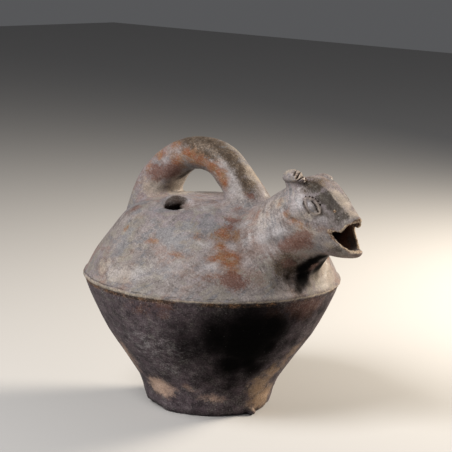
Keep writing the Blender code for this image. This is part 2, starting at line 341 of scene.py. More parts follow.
def refine(obj, cuts):
    # smaller faces where the eyes, ears and lips are cut
    mesh = obj.data
    middles = np.empty(len(mesh.polygons) * 3)
    mesh.polygons.foreach_get("center", middles)
    middles = middles.reshape(-1, 3) * 1000
    fine = nearAny(middles, fineWork)
    bpy.context.view_layer.objects.active = obj
    bpy.ops.object.mode_set(mode="EDIT")
    bpy.ops.mesh.select_mode(type="FACE")
    bpy.ops.mesh.select_all(action="DESELECT")
    bpy.ops.object.mode_set(mode="OBJECT")
    mesh.polygons.foreach_set("select", fine > 0.37)
    bpy.ops.object.mode_set(mode="EDIT")
    bpy.ops.mesh.subdivide(number_cuts=cuts)
    bpy.ops.object.mode_set(mode="OBJECT")
    points, _ = readSurface(obj)
    groupOf(obj, "fine_work", nearAny(points, fineWork) > 0.30)
    smooth(obj, pot["softening"]["fine_work"], "fine_work")


def roundOff(points):
    # the plain solid's flats become a true round
    x, y, z = points.T
    turn = np.arctan2(y, x)
    flat = 2 * math.pi / pot["sides"]
    off = (turn / flat - np.floor(turn / flat) - 0.5) * flat
    r = np.hypot(x, y)
    outer = np.interp(z, wallProfile["height"], wallProfile["radius"])
    onWall = ramp(r, outer - 3.0, outer - 1.0) * ramp(-r, -outer - 2.5, -outer - 1.0)
    grow = 1 + onWall * (np.cos(off) / math.cos(flat / 2) - 1)
    points[:, 0] *= grow
    points[:, 1] *= grow
    return points


# The animal's head, worked on both sides; the nearer side is the better kept
face = {
    "eye": (100.4, -19.4, 154.9),  # middle of the near eye
    "eyeAlong": (0.686, 0.155, -0.711),
    "eyeAcross": (0.555, 0.519, 0.649),
    "lid": 0.95,                   # height of the raised lid, millimetres
    "ball": 0.95,                  # and of the eyeball
    "shake": 0.35,                 # how far the cuts stray
    "slits": 1.35,                 # depth of the cuts round the eyeball
    "cheek": 1.7,
    "muzzle": 0.5,
    "flute": 1.1,                  # hollow between forehead and eye
    "brow": 0.55,                  # crease where the forehead's flat ends
    "lipRoughness": 0.75,
    "noseTip": 1.6,
    "sides": ((-1, 1.0, 1.0), (1, 0.8, 0.25)),  # near and far: how deep its forms and its eye are
}
eyeLines = {  # paths in the eye's own plane, and their widths
    "upper": (((-7.6, 0.6), (-6.2, 3), (-3, 4.6), (0.6, 4.7), (3.8, 3.8), (5.8, 2)), 1.15),
    "lower": (((-6, -0.9), (-3.6, -1.9), (-0.4, -2.3), (2.6, -2.1), (5.2, -0.6), (5.8, 1.4)), 0.9),
    "inner": (((-3.4, 2.6), (-1, 2.9), (1.6, 2.8), (4.4, 1.5)), 0.62),
    "outer": (((-6.6, -1.4), (-5, -2.6), (-2.2, -3.3), (1.8, -3.6)), 0.62),
    "pits": (((-9, 0.4), (-8, 2.6), (-6.2, 4.4), (-3.2, 5.8), (0, 6), (3, 5.2)), 0.62),
}
faceLines = {  # on the far side; the near side's are their mirror images
    "flute": ((92, 14.5, 167.5), (102, 14, 161.5), (111, 11.8, 154.5), (118, 9.4, 148.5)),
    "brow": ((97, 7.5, 169.2), (103.3, 7.2, 165), (108.1, 7, 160.6), (113.4, 6.8, 155.6), (119, 6.6, 150.6)),
    "fold": ((80.5, 24.6, 152.5), (82, 25.2, 149.2), (85.5, 25.6, 146.6), (91, 24.6, 145.8),
             (99, 21.8, 145.2)),
}
lips = (  # the mouth's outlines on the plain solid, along and up, which way they are jagged, and a seed
    (((111.7, 140), (114.6, 136.1), (117.9, 132.8), (121.1, 129.5), (124.1, 127.5), (127.5, 127.8)),
     (0.45, 0.89), 51),
    (((112.5, 140.3), (116.6, 139.8), (118.9, 141.3), (120.9, 144.2), (122.3, 145), (125.2, 147)),
     (0.30, -0.95), 57),
)
ears = {  # each stub's middle and radii, the height at which it begins and those between which it is broken
    "near": {"middle": (82, -16.2, 171.6), "radii": (9, 5.3, 6.4), "from": 168.5, "broken": (168, 171)},
    "far": {"middle": (84.6, 13, 167.2), "radii": (8.6, 6.8, 5.9), "from": 167, "broken": (170.5, 172.5)},
    "across": (0.766, 0.643, 0),       # the two ways over the near stub's break
    "upwards": (-0.115, 0.137, 0.984),
    "roughness": 0.55,
    "gouges": (                        # start, end, width and depth of each
        ((1.2, 6.2), (-0.4, 2.2), 0.45, 1),
        ((3.9, 4.7), (1.4, 0), 0.5, 1.3),
        ((6.9, 2.4), (2.6, -1.4), 0.5, 1.3),
        ((5.6, 4.2), (6.6, 1), 0.35, 0.8),
        ((-5.2, -2.9), (1.2, -2.7), 0.35, 0.6),
        ((-1.8, 4.6), (2.2, 3.6), 0.3, 0.5),
    ),
}


def workEye(points, lift, recessShade, side, raised):
    # lids, eyeball and slits, laid out in the eye's own plane
    flip = np.array((1, -side, 1))
    middle = np.array(face["eye"]) * flip
    local = (points - middle) @ np.stack([
        np.array(face["eyeAlong"]) * flip, np.array(face["eyeAcross"]) * flip], axis=1)
    zero = np.zeros(len(points))
    flat = np.concatenate([local, zero[:, None]], axis=1)
    close = near(points, middle, (11, 8, 11)) > 0.15
    stray = np.stack([latticeNoise(points, 2.4, 101), latticeNoise(points, 2.4, 102), zero], axis=1)
    shaky = flat + face["shake"] * stray

    drawn, runs = {}, {}
    for name, (path, width) in eyeLines.items():
        d, runs[name] = alongPath(shaky, [(u, v, 0) for u, v in path])
        drawn[name] = bell(d, width) * close
    upper, lower, inner, outer, pits = drawn.values()
    lift += raised * face["lid"] * (upper + 0.6 * lower)
    ball = np.exp(-((flat[:, 0] + 0.5) / 2.5) ** 2 - ((flat[:, 1] - 0.8) / 1.25) ** 2) * close
    lift += raised * face["ball"] * ball
    pits *= 0.15 + 0.85 * (np.sin(runs["pits"] * 2.4 + 3 * latticeNoise(points, 3, 103)) > 0.1)
    cut = inner + 0.75 * outer + 0.8 * pits
    lift -= face["slits"] * cut * (0.4 + 0.6 * raised)
    # painted shade in the eye's slits
    recessShade += 1.1 * inner + 0.9 * outer + 1.0 * pits
    return raised * np.clip(upper + lower + 0.6 * pits - ball, 0, 1)


def workFace(points, lift, recessShade):
    lids = 0
    for side, depth, raised in face["sides"]:
        lids = lids + workEye(points, lift, recessShade, side, raised)
        on = (points[:, 1] * side > 0).astype(float)
        # hollow flute from the ear down to the lip
        lift -= depth * face["flute"] * groove(points, onSide(faceLines["flute"], side), 4.6) * on
        # the forehead's flat ends in a soft crease above it
        d, run = alongPath(points, onSide(faceLines["brow"], side))
        lift += depth * face["brow"] * bell(d, 1.5) * on * ramp(run, 0, 5)
        # the cheek ends in a fold over the neck
        d, run = alongPath(points, onSide(faceLines["fold"], side))
        fold = bell(d, 1.9) * on * (1 - ramp(run, 14, 24))
        above = near(points, (92, side * 23.5, 152.0), (10, 9, 5.0)) * on
        lift += depth * face["cheek"] * (above - 0.5 * fold)
        # painted shade along the cheek's fold
        recessShade += 0.12 * bell(d, 1.0) * on * (1 - ramp(run, 8, 16))
        # a soft swelling of the muzzle above the corner of the mouth
        lift += depth * face["muzzle"] * near(points, (108, side * 17, 145), (7, 6, 5)) * on
    return lids


def roundEar(points):
    # the broken stubs are blunt: the near one stands out, the far one is almost level with the head
    for stub in (ears["near"], ears["far"]):
        middle, radii = np.array(stub["middle"]), np.array(stub["radii"])
        local = (points - middle) / radii
        off = np.hypot(local[:, 0], local[:, 1])
        share = ramp(points[:, 2], stub["from"], stub["from"] + 3.5) * ramp(-off, -1.7, -1.25)
        away = np.maximum(np.linalg.norm(local, axis=1), 0.25)
        points += (share * (1 / away - 1))[:, None] * (points - middle)
    return points


def breakEars(points, lift, recessShade, broken):
    stub = ears["near"]
    away = points - np.array(stub["middle"])
    onStub = ramp(points[:, 2], *stub["broken"])
    onStub = onStub * ramp(-np.linalg.norm(away / np.array(stub["radii"]), axis=1), -1.5, -1.2)
    across = away @ np.array(ears["across"])
    upwards = away @ np.array(ears["upwards"])
    front = ramp(away @ np.cross(ears["across"], ears["upwards"]), -2.0, 0.5)
    flat = np.stack([across, upwards, np.zeros(len(points))], axis=1)
    rough = ramp(across, -1.5, 0.5) * onStub
    lift += ears["roughness"] * rough * roughness(points, 2.4, 41, 3)
    # a smooth lobe at the back
    lift += 0.5 * onStub * np.exp(-((across + 4.0) / 2.6) ** 2 - ((upwards - 2.0) / 3.0) ** 2)
    for a, b, width, depth in ears["gouges"]:
        gouge = groove(flat, [(*a, 0), (*b, 0)], width) * onStub * front
        lift -= depth * gouge
        # painted shade in the gouges
        recessShade += 0.9 * depth * gouge
    broken += 0.5 * rough * ramp(upwards, -2.5, 0)
    far = ears["far"]
    away = np.linalg.norm((points - np.array(far["middle"])) / np.array(far["radii"]), axis=1)
    scar = ramp(-away, -1.3, -1.0) * ramp(points[:, 2], *far["broken"])
    lift += 0.25 * ears["roughness"] * scar * roughness(points, 2.6, 43, 3)


def breakLips(points, broken):
    # the lips are snapped off, so their edges are jagged
    x, y, z = points.T
    move = np.zeros_like(points)
    flat = points * np.array((1, 0, 1))
    for edge, away, seed in lips:
        d, _ = alongPath(flat, [(u, 0, v) for u, v in edge])
        close = bell(d, 2.3) * (x > 106)
        jag = roughness(points, 4.2, seed, 3) * 0.9 + 0.25 * np.sign(latticeNoise(points, 2.3, seed + 5))
        move += (close * jag * face["lipRoughness"])[:, None] * np.array((away[0], 0, away[1]))
        patchy = 0.75 + 0.5 * latticeNoise(points, 1.8, seed + 7)
        broken += 1.3 * bell(d, 1.25) * (x > 108) * patchy
    move[:, 2] += face["noseTip"] * near(points, (126, 0, 145.3), (4, 9, 3.0))
    broken += 1.6 * near(points, (112.6, -10.6, 153.9), (1.0, 1.0, 1.0))  # a chip beside the nose
    # the far cheek's front edge is broken too: its foremost points are found in thin steps of height
    bottom, top, steps = 127, 147, 40
    far = (y > 2) & (z > bottom) & (z < top)
    step = np.clip(((z - bottom) * 2).astype(int), 0, steps - 1)
    front = np.zeros(steps)
    np.maximum.at(front, step[far], x[far])
    broken += 1.2 * far * bell(front[step] - x, 1.2)
    return move


# What fire, soil and handling left on the clay, and painted highlights, rim light and shade: each spot's x,
# y and z, its reach along them, its strength
stains = {
    "rust": (
        (49.6, -49.5, 124.7, 3.6, 3.6, 3.2, 1), (56.3, -49.3, 117.9, 10.5, 10.5, 6.8, 1),
        (51.5, -54.5, 116.5, 8, 8, 4.2, 0.85), (48, -42.4, 132.7, 10.5, 10.5, 7, 0.76),
        (62, -51, 110, 7, 7, 6, 0.75), (55.5, -61.5, 107.5, 9, 6, 3, 0.5),
        (26.9, -69, 119, 8, 4, 2.4, 0.62), (35.3, -55.9, 130.1, 7, 6, 3.6, 0.55),
        (4.6, -69.5, 125.1, 7, 4, 2.6, 0.6), (-25.5, -62.7, 128, 2.6, 2.6, 2.6, 0.9),
        (-13, -12.6, 175.6, 9, 6, 6, 1), (-2, -12.8, 173.4, 9, 7, 5.6, 1), (8, -12, 170.6, 8, 7, 5.2, 1),
        (15, -11.6, 166.6, 6.5, 7, 5.6, 1), (19.5, -11, 161.4, 5, 7, 6, 1),
        (-25, -12.5, 169, 8, 6, 6, 0.9), (-28, -9, 180.5, 9, 6, 4, 0.8), (-41, -11, 173.5, 8, 6, 6, 0.8),
        (-50, -14, 162, 4, 6, 8, 0.5), (83, -25, 149.5, 3.6, 5, 5, 0.66),
        (88, -24.4, 145.4, 6.5, 5, 2.8, 0.7), (96, -23, 142.2, 9, 5, 3, 0.5),
        (75.5, -21, 155, 3.5, 7, 10, 0.42), (68, -24.5, 150, 4, 7, 12, 0.36),
        (58.5, -25, 144, 3.5, 8, 13, 0.42), (108, -16, 141, 9, 5, 3, 0.45),
        (92, -23, 131.5, 12, 7, 5, 0.42), (57, 49, 118, 13, 9, 5, 0.75), (67, 42, 111, 9, 8, 5, 0.6),
        (40, 58, 118, 10, 7, 3, 0.55), (-52, 44, 120, 15, 9, 4, 0.65), (-34, 55, 122, 12, 7, 3, 0.45),
        (0, 12.6, 174.5, 14, 5, 5, 0.8), (90, 23, 143, 10, 5, 5, 0.6)),
    "red": (
        (64.6, -53.3, 104.6, 10, 10, 5.6, 1), (52, -62, 105.5, 8, 7, 3, 0.5),
        (91.1, -22.9, 130.7, 13, 8, 6.6, 0.85), (95.2, -21.9, 133.8, 8, 6, 5.5, 0.9),
        (83, -25.5, 127, 9, 6, 5, 0.6), (42.5, -31, 140.7, 6, 7, 4, 0.7), (46, -36.5, 137, 4, 5, 5, 0.72),
        (37, -20, 146.5, 6, 5, 5, 0.5), (41, -9.7, 153.6, 6, 5, 5, 0.45),
        (-31, -12.5, 161.5, 9.5, 7, 8, 1), (-43, -14.5, 160, 8, 7, 7, 0.7),
        (90.6, -2.6, 111.8, 5, 5, 5, 1), (86, -21, 117, 10, 8, 7, 0.45),
        (30.2, -84.2, 87.5, 11, 6, 5, 0.72), (16, -88, 84.5, 9, 6, 5, 0.5), (22, -85, 82, 28, 9, 9, 0.42),
        (87, -4, 80.5, 6, 20, 12, 0.95), (78, -30, 82, 9, 12, 9, 0.6), (22, -50, 22, 5, 5, 4, 0.6),
        (-36.3, -44.3, 138.2, 11, 9, 5, 0.5), (-70, -45, 104, 16, 16, 9, 0.55),
        (86, 26, 128, 13, 8, 8, 0.7), (20, 84, 86, 24, 8, 7, 0.6)),
    "brown": (
        (-8, -7, 186, 26, 12, 9, 1), (4, -10.5, 181, 20, 8, 7, 1), (-30, -7, 184, 12, 7, 5, 0.5),
        (17, -7, 179, 15, 9, 9, 0.95), (26, -6, 171, 10, 8, 12, 0.85), (34, -6, 158, 8, 7, 12, 0.78),
        (95, -11, 168.5, 8, 8, 4, 0.8), (106, -16.5, 150, 7, 4, 2.5, 0.55), (117, -13, 129, 6, 5, 3, 0.5),
        (91, -20, 166, 7, 5, 4, 0.45), (93, -5, 171.5, 9, 7, 4, 0.5), (86, -24.5, 147, 8, 5, 4, 0.36),
        (48, -42, 133, 14, 14, 9, 0.45), (84, -22, 114, 10, 10, 10, 0.9), (93, -6, 114, 9, 9, 8, 0.6)),
    # a dark grey stain, laid over the forehead's near slope also as painted shade
    "slateAndShade": (
        (97, -13, 166.5, 10, 7, 6, 0.62), (104, -11, 161.6, 8, 5.5, 5.5, 0.98),
        (110.5, -9, 156.2, 7.5, 5, 6, 0.92), (116, -8, 150, 6, 5, 6, 0.6), (118, -9, 128, 8, 9, 4, 0.6),
        (103, 12.5, 161, 12, 7, 10, 0.8)),
    # a pale grey film; on the neck and the eyeball these spots are also painted highlights
    "frostAndHighlight": (
        (-35, -13.5, 170, 5.5, 5, 4.5, 0.75), (15.5, -11.5, 172.5, 6, 5, 4, 0.7),
        (24, -12.5, 166.5, 5, 6, 8, 0.75), (28, -13.5, 157, 6, 6, 8, 0.7),
        (6.7, -83.7, 104.5, 9, 7, 6.5, 0.9), (14, -79, 109.5, 8, 6, 4, 0.5),
        (-14, -84, 102, 18, 9, 7, 0.66), (50.6, -60.6, 112.5, 8, 8, 4, 0.85),
        (40.3, -55.5, 126.7, 9, 7, 2.2, 0.66), (24, -59.4, 132.6, 9, 6, 3, 0.5),
        (53.7, -44.5, 125, 4.5, 4.5, 4.5, 0.85), (59.5, -36.1, 127.5, 6, 6, 9, 0.7),
        (64.4, -40.4, 116.2, 7, 7, 8, 0.75), (68.9, -31.4, 130.4, 8, 5, 4.5, 0.95),
        (80.9, -28.3, 137.2, 8, 5, 4.5, 0.95), (92, -22.5, 156, 8, 6, 7, 0.55),
        (106, -17.5, 148, 8, 6, 5, 0.7), (100, -20, 155.4, 3.4, 3, 2.4, 0.95),
        (70, -25, 140, 18, 14, 16, 0.55), (74, -30, 124, 10, 9, 9, 0.6), (88, -21, 160, 7, 6, 4, 0.6),
        (88, -24, 153, 8, 6, 6, 0.5), (52, -28.5, 137.5, 5, 6, 5, 0.6), (69, -37.5, 113, 5, 6, 6, 0.55),
        (100, -18, 147.5, 9, 6, 3, 0.65), (6, -28, 146, 30, 20, 7, 0.62), (9, -72, 54, 18, 12, 15, 0.72),
        (27, -64, 51, 14, 12, 10, 0.6), (16, -60, 36, 14, 10, 8, 0.6), (-60, 60, 118, 18, 16, 9, 0.7)),
    # pale soil; on the handle's back leg and the top of the forehead these spots are also painted rim light
    "creamAndRimLight": (
        (-11, -85, 101, 17, 9, 6, 0.62), (-30, -80, 104, 14, 9, 8, 0.5),
        (8.5, -69, 125.2, 3, 3, 1.6, 0.9), (-34, 0, 152, 9, 14, 9, 0.8), (-45, -14, 149, 11, 9, 6, 0.9),
        (-41, -3, 155, 7, 9, 8, 0.9), (30.5, 4, 170, 8, 8, 24, 0.6), (111, -0.5, 160, 12, 7.5, 12, 0.7),
        (119, -1, 151.5, 6, 6, 5, 0.7), (84, 22, 104, 14, 22, 14, 0.8), (74, -23, 155, 10, 7, 7, 0.5),
        (80, -17, 176, 8, 7, 6, 0.7), (112, -15, 131, 10, 5, 4, 0.5), (97, -22, 149, 11, 6, 6, 0.45),
        (66, -27, 148, 9, 10, 15, 0.5), (97, -22, 138, 13, 8, 8, 0.5), (-28, -2, 150, 6, 10, 8, 1.2),
        (94, 0, 97, 8, 16, 5, 0.6), (-80, 20, 100, 12, 30, 8, 0.7)),
    "peach": (
        (-2, -49, 18.8, 11, 9, 7.2, 1.3), (-27, -55, 40, 9, 12, 24, 0.72), (-38, -50, 24, 9, 12, 16, 0.6),
        (33, -34.3, 14, 12, 10, 4, 0.52), (22, -44, 21, 8, 8, 4, 0.36), (-15, 46, 20, 22, 10, 12, 0.7)),
    "tan": (
        (50.3, -4, 21, 8, 10, 14, 0.95), (46, 4, 10, 7, 14, 10, 1), (57, 2, 36, 7, 12, 12, 0.8),
        (66, 12, 49, 8, 12, 10, 0.48), (72, 34, 66, 8, 10, 12, 0.22), (-40, 30, 40, 22, 22, 26, 0.6)),
    # the fire's blackening, and also painted shade under the throat and on the lower wall's unlit side
    "sootAndShade": (
        (86, -7, 104.5, 8, 9, 8, 1), (87, -12, 97, 4, 5, 6, 0.7), (88.5, -10.5, 112, 7, 7, 8, 1),
        (94, -7, 116.5, 8, 8, 5, 0.95), (101, -3, 119, 10, 10, 4.5, 0.9), (83, -18, 106, 10, 9, 10, 0.42),
        (88, -19.5, 117.5, 11, 8, 5, 0.36), (80, -27, 103, 8, 7, 7, 0.26), (92, 9, 109, 9, 11, 9, 0.9),
        (67, -39, 62, 32, 34, 44, 1), (54, -40, 42, 17, 18, 17, 0.95), (84, -12, 74, 9, 12, 14, 0.62),
        (76, 0, 58, 8, 11, 13, 0.46), (74, -26, 72, 16, 20, 20, 1), (74, -8, 58, 8, 11, 13, 0.5),
        (70, -21, 56, 11, 11, 14, 0.9), (60, -30, 44, 12, 12, 12, 0.95), (50, -32, 28, 15, 16, 15, 0.68),
        (62, -24, 36, 13, 14, 14, 0.95), (48, -34, 22, 12, 14, 12, 0.8), (55, -56, 64, 20, 20, 34, 0.85),
        (40, -62, 58, 24, 26, 36, 0.6), (84, 4, 72, 9, 14, 16, 0.5), (80, 23, 76, 11, 16, 18, 0.48),
        (71, 24, 57, 11, 14, 13, 0.34), (80, -3, 66, 8, 10, 12, 0.42), (40, -44, 31, 18, 15, 14, 0.52),
        (56, 56, 66, 34, 20, 20, 0.42), (30, 62, 48, 26, 14, 13, 0.4), (66, 44, 52, 14, 14, 22, 0.46),
        (-40, 50, 66, 22, 18, 14, 0.45)),
}
sheenAndLight = {  # how much of the burnish is left, and where; the same mark lightens the colour as painted light, most on the neck
    "everywhere": 0.02,
    "shoulder": 0.10,      # above the ridge
    "worn": ((92, 8, 98), (14, 26, 14), 0.8),   # but not in front, below the throat
    "neck": ((80, -10, 138), (24, 40, 22), 0.55),
    "top": 0.12,           # handle and head
}


def paintStains(obj, points, inside):
    z = points[:, 2]
    wander = np.stack([roughness(points, 9, seed, 3) for seed in (81, 86, 91)], axis=1)
    moved = points + 1.4 * wander
    onWall = ramp(-z, -92.5, -90.5)
    for name, spots in stains.items():
        mask = np.zeros(len(points))
        for *place, strength in spots:
            middle, reach = place[:3], place[3:]
            spot = strength * near(moved, middle, reach)
            if middle[2] < pot["ridge"] - 1:
                spot *= onWall   # what marks the lower wall stops at the ridge
            mask = np.maximum(mask, spot)
        keepMark(obj, name, mask * (1 - inside))
    middle, reach, share = sheenAndLight["worn"]
    amount = sheenAndLight["shoulder"] * ramp(z, 92, 97) * (1 - share * near(points, middle, reach))
    middle, reach, share = sheenAndLight["neck"]
    amount += share * near(points, middle, reach)
    amount += sheenAndLight["top"] * ramp(z, 150, 160)
    keepMark(obj, "sheenAndLight", (amount + sheenAndLight["everywhere"]) * (1 - inside))
    keepMark(obj, "neck", ramp((points - np.array(spout["root"])) @ np.array(spout["axis"]), 10, 24))


def fillCreases(obj, group):
    # clay pressed into the joins: the surface only ever moves outwards
    before, normals = readSurface(obj)
    smooth(obj, pot["creaseFill"], group)
    after, _ = readSurface(obj)
    gained = np.clip(((after - before) * normals).sum(axis=1), 0, None)
    writeSurface(obj, before + normals * gained[:, None])


def wearRidge(points, lift):
    # the shoulder ends in a thin worn lip over the lower wall
    x, y, z = points.T
    ring = np.stack([np.arctan2(y, x) * 90, z * 0.5, np.zeros(len(points))], axis=1)
    out = ramp(np.hypot(x, y), 85, 88)
    lip = bell(z - 92.4, 1.5) * out
    under = bell(z - 89.6, 1.7) * out
    crumbs = roughness(points, 1.9, 21, 2)
    lift += lip * pot["crumble"] * crumbs + under * 1.2 * pot["crumble"] * (crumbs - 0.3)
    bites = ramp(latticeNoise(ring, 8, 31), 0.3, 0.8)
    lift -= (lip + 0.5 * under) * pot["bites"] * bites
    return lip * (0.70 + 0.45 * latticeNoise(ring, 11, 37) + 0.35 * crumbs)


# The neck: paths on the far side, and how high or deep each is on the near (-1) and the far side (1)
spout = {
    "root": (50, 0, 118),
    "axis": (0.857, 0, 0.515),
    "wiping": 0.10,
    "edge": ((68.5, 31.2, 129.2), (75, 29.2, 132.8), (81, 27.5, 136), (88, 25.5, 138.6)),
    "edgeHeight": {-1: 0.7, 1: 0.45},
    "seat": ((51.6, 27.2, 137.5), (56.5, 35.8, 129.1), (61.8, 38.5, 120.8), (69, 37.4, 113),
             (76.4, 32.5, 106), (83.3, 22.7, 99.7)),
    "seatHeight": {-1: 0.38, 1: 0.12},
    "gouge": ((70.5, 34.6, 112.5), (76, 34.6, 107.5), (79.5, 32.6, 102)),
    "gougeDepth": {-1: 0.6, 1: 0.3},
}


def workNeck(points, lift):
    # wiping marks run round the neck, square to its axis
    x, y, z = points.T
    root, axis = np.array(spout["root"]), np.array(spout["axis"])
    along = (points - root) @ axis
    aside = points - root - along[:, None] * axis
    onNeck = ramp(along, 12, 26) * ramp(-x, -112, -100) * ramp(-np.abs(y), -40, -36)
    marks = roughness(np.stack([along / 2.2, aside[:, 2] / 22, y / 22], axis=1), 1.0, 61, 2)
    lift += spout["wiping"] * onNeck * marks
    for side in (-1, 1):
        # the upper side ends in a soft edge that catches the light
        edge = onSide(spout["edge"], side)
        d, run = alongPath(points, edge)
        ends = ramp(run, 0, 5) * (1 - ramp(run, 17, 22))
        lift += spout["edgeHeight"][side] * ends * bell(d, 2.4)
        lift -= 0.4 * ends * groove(points, [(x - 1, y, z - 6) for x, y, z in edge], 3.5)
        # where the neck was pressed on to the shoulder
        d, run = alongPath(points, onSide(spout["seat"], side))
        lift += spout["seatHeight"][side] * bell(d - 0.6, 0.9) * ramp(run, 0, 6)
        # one long gouge down the root of the neck, with a raised edge
        d, _ = alongPath(points, onSide(spout["gouge"], side))
        lift += spout["gougeDepth"][side] * bell(d - 1.2, 0.9)
        lift -= spout["gougeDepth"][side] * bell(d, 0.7)
    return onNeck


def workHole(points, lift, recessShade):
    # painted shade on the filling hole's wall, less of it on the lit far right side, which fingers have worn
    # into a slope
    x, y, z = points.T
    fromMiddle = points[:, :2] - np.array(fillingHole["middle"])
    right = np.array(fillingHole["right"])
    away = np.hypot(fromMiddle[:, 0], fromMiddle[:, 1])
    toRight = right[0] * fromMiddle[:, 0] + right[1] * fromMiddle[:, 1]
    r = np.hypot(x, y)
    depth = np.interp(-r, [-h for h in wallProfile["radius"]], wallProfile["height"]) - z
    onCrown = z > 120
    holeShade = ramp(-away, -11.8, -10.6) * ramp(depth + 0.8 * lift, 0.3, 1.6) * onCrown
    recessShade += holeShade * (1 - 0.8 * ramp(toRight, 3, 9))
    slope = ramp(-away, -13.0, -11.6) * ramp(toRight, 0.0, 6.0) * ramp(depth, 0.3, 4.5)
    slope = slope * (1 - ramp(depth, 9, 12))
    return (fillingHole["worn"] * slope * onCrown)[:, None] * np.array((*-right, 0))


def softenJoins(obj):
    # the solid's flats and sharp joins are smoothed, apart from the parts that keep their shape
    points, _ = readSurface(obj)
    outside = 1 - insideOf(obj)
    points = roundOff(points)
    writeSurface(obj, points)
    x, y, z = points.T
    r = np.hypot(x, y)
    ridge = bell(z - pot["ridge"], 3.0) * ramp(r, 84, 87)
    eyes, nearEars, mouth, hole = (nearAny(points, spots) for spots in keptParts.values())
    foot = ramp(-z, -8, -2)
    fine = np.clip(ridge + 0.9 * nearEars + 1.4 * mouth + 0.7 * eyes + foot + 1.2 * hole, 0, 1)
    joins = ramp(z, 98, 104) * (1 - np.clip(fine + nearEars, 0, 1))
    groupOf(obj, "ears", np.clip(1.3 * nearEars, 0, 1))
    groupOf(obj, "all_over", 1 - 0.85 * fine)
    groupOf(obj, "joins", joins)
    groupOf(obj, "creases", joins * outside)
    smooth(obj, pot["softening"]["all_over"], "all_over")
    fillCreases(obj, "creases")
    for group in ("ears", "joins"):
        smooth(obj, pot["softening"][group], group)
    print("joins smoothed")


def workSurface(obj, low, high):
    points, normals = readSurface(obj)
    x, y, z = points.T
    inside = insideOf(obj)
    outside = 1 - inside
    eyes, nearEars = nearAny(points, keptParts["eyes"]), nearAny(points, keptParts["ears"])
    foot = ramp(-z, -8, -2)
    lift, recessShade, broken = (np.zeros(len(points)) for _ in range(3))
    for middle, reach, height in touches:
        lift += height * near(points, middle, reach) * outside
    lids = workFace(points, lift, recessShade)
    breakEars(points, lift, recessShade, broken)
    shift = breakLips(points, broken)
    onNeck = workNeck(points, lift)
    shift += workHole(points, lift, recessShade)
    # slow unevenness of the hand-built wall, then burnishing strokes that run round it
    lift += pot["unevenness"] * outside * roughness(points, 34, 3, 2) * (1 - 0.6 * eyes)
    strokes = roughness(np.stack([x / 16, y / 16, z / 2.4], axis=1), 1.0, 11, 2)
    lift += pot["strokes"] * outside * strokes * (1 - np.clip(eyes + nearEars + onNeck, 0, 1))
    # the back foot of the handle was luted on along a curved seam
    for side in (-1, 1):
        d, _ = alongPath(points, onSide(handleSeam, side))
        lift -= 0.5 * bell(d, 1.3)
        # painted shade along the seam
        recessShade += 0.2 * bell(d, 1.0)
    lift += pot["footWear"] * foot * roughness(points, 6, 71, 3) * outside
    crust = wearRidge(points, lift) * outside

    fine = nearAny(points, fineWork)
    points += normals * lift[:, None] + shift
    points = np.clip(points, low, high)
    writeSurface(obj, points)
    marks = {"hollow": inside, "recessShade": recessShade, "broken": broken, "lids": lids, "crust": crust}
    for name, values in marks.items():
        keepMark(obj, name, values)
    paintStains(obj, points, inside)
    head = (points[:, 2] > 125) * (points[:, 0] > 60)
    groupOf(obj, "thin", 1 - np.clip(0.25 + 0.75 * inside - 0.2 * head - fine, 0, 1))
    print("surface worked")


def makePot():
    obj = startPot()
    softenJoins(obj)
    refine(obj, pot["cuts"])
    points, _ = readSurface(obj)
    writeSurface(obj, roundEar(points))
    low, high = (np.array(corner) * 1000 for corner in cadBox)
    workSurface(obj, low, high)
    wanted = pot["triangles"] / (2 * len(obj.data.polygons))
    if wanted < 1:
        useModifier(obj, "DECIMATE", ratio=wanted, use_collapse_triangulate=True,
                    vertex_group="thin", invert_vertex_group=True, vertex_group_factor=1.0)
    points, _ = readSurface(obj)
    writeSurface(obj, np.clip(points, low, high))   # thinning can leave a point just outside the box
    print("pot has", len(obj.data.polygons), "faces")
    bpy.ops.object.select_all(action="DESELECT")
    obj.select_set(True)
    bpy.context.view_layer.objects.active = obj
    bpy.ops.object.shade_smooth_by_angle(angle=math.radians(pot["creaseAngle"]))
    return obj


firedPot = makePot()


class Channel:
    # a socket that Python's arithmetic turns into Math nodes
    tree = None

    def __init__(self, socket):
        self.socket = socket

    @classmethod
    def node(cls, kind, settings=None, inputs=None, output=0):
        made = cls.tree.nodes.new(kind)
        for name, value in (settings or {}).items():
            setattr(made, name, value)
        for name, value in (inputs or {}).items():
            if isinstance(value, Channel):
                cls.tree.links.new(value.socket, made.inputs[name])
            else:
                made.inputs[name].default_value = value
        return cls(made.outputs[output])

    def maths(self, operation, other, flip=False):
        pair = (other, self) if flip else (self, other)
        return Channel.node("ShaderNodeMath", {"operation": operation}, dict(enumerate(pair)))

    def __add__(self, other): return self.maths("ADD", other)
    def __radd__(self, other): return self.maths("ADD", other)
    def __sub__(self, other): return self.maths("SUBTRACT", other)
    def __rsub__(self, other): return self.maths("SUBTRACT", other, flip=True)
    def __mul__(self, other): return self.maths("MULTIPLY", other)
    def __rmul__(self, other): return self.maths("MULTIPLY", other)
    def __pow__(self, other): return self.maths("POWER", other)

    def fade(self, low, high):
        return Channel.node("ShaderNodeMapRange", {"interpolation_type": "SMOOTHSTEP"},
                            {"Value": self, "From Min": low, "From Max": high})


